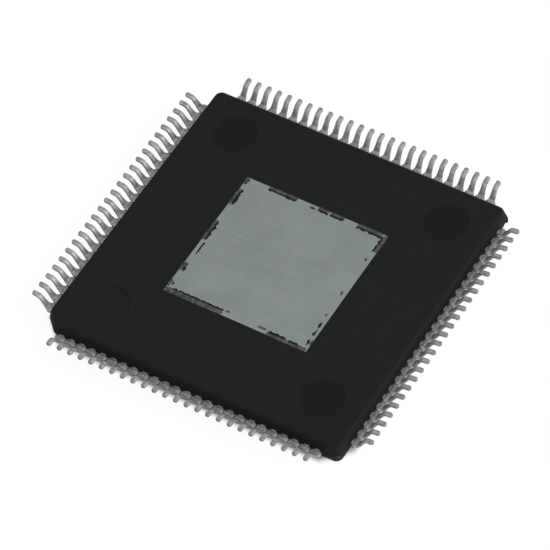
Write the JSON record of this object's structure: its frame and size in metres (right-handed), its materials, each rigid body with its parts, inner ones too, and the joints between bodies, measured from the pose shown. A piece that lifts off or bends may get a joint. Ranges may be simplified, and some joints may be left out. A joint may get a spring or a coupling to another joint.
{
  "type": "digital-to-analog converter chip",
  "caption": "Thin square chip package lying on its marking face, with gull-wing leads on every side, an exposed metal pad and a die inside that turns digital codes into analog levels.",
  "frame": {"origin": "centre of the marking face, on the surface that the part lies on", "axes": "+Z is the exposed pad's outward normal, +X and +Y run square to the body's sides, and the first lead's corner is at -X -Y"},
  "size_m": [0.016, 0.016, 0.0011],
  "materials": {
    "moulding_compound": "black epoxy moulding compound, fine matte cast of a spark-eroded mould",
    "plated_lead": "matte tin plating on copper-alloy sheet",
    "plated_pad": "dull matte plating on copper-alloy sheet",
    "die_attach_paste": "cured silver-filled paste",
    "silicon": "polished silicon with a passivated face",
    "bond_wire_gold": "drawn gold wire"
  },
  "bodies": {
    "root": {"moulded_body": "moulding_compound", "die_paddle": "plated_pad", "die_attach": "die_attach_paste", "silicon_die": "silicon", "bond_wires_pins_1_25": "bond_wire_gold", "bond_wires_pins_26_50": "bond_wire_gold", "bond_wires_pins_51_75": "bond_wire_gold", "bond_wires_pins_76_100": "bond_wire_gold", "leads_pins_1_5": "plated_lead", "leads_pins_6_10": "plated_lead", "leads_pins_11_15": "plated_lead", "leads_pins_16_20": "plated_lead", "leads_pins_21_25": "plated_lead", "leads_pins_26_30": "plated_lead", "leads_pins_31_35": "plated_lead", "leads_pins_36_40": "plated_lead", "leads_pins_41_45": "plated_lead", "leads_pins_46_50": "plated_lead", "leads_pins_51_55": "plated_lead", "leads_pins_56_60": "plated_lead", "leads_pins_61_65": "plated_lead", "leads_pins_66_70": "plated_lead", "leads_pins_71_75": "plated_lead", "leads_pins_76_80": "plated_lead", "leads_pins_81_85": "plated_lead", "leads_pins_86_90": "plated_lead", "leads_pins_91_95": "plated_lead", "leads_pins_96_100": "plated_lead"}
  },
  "joints": []
}
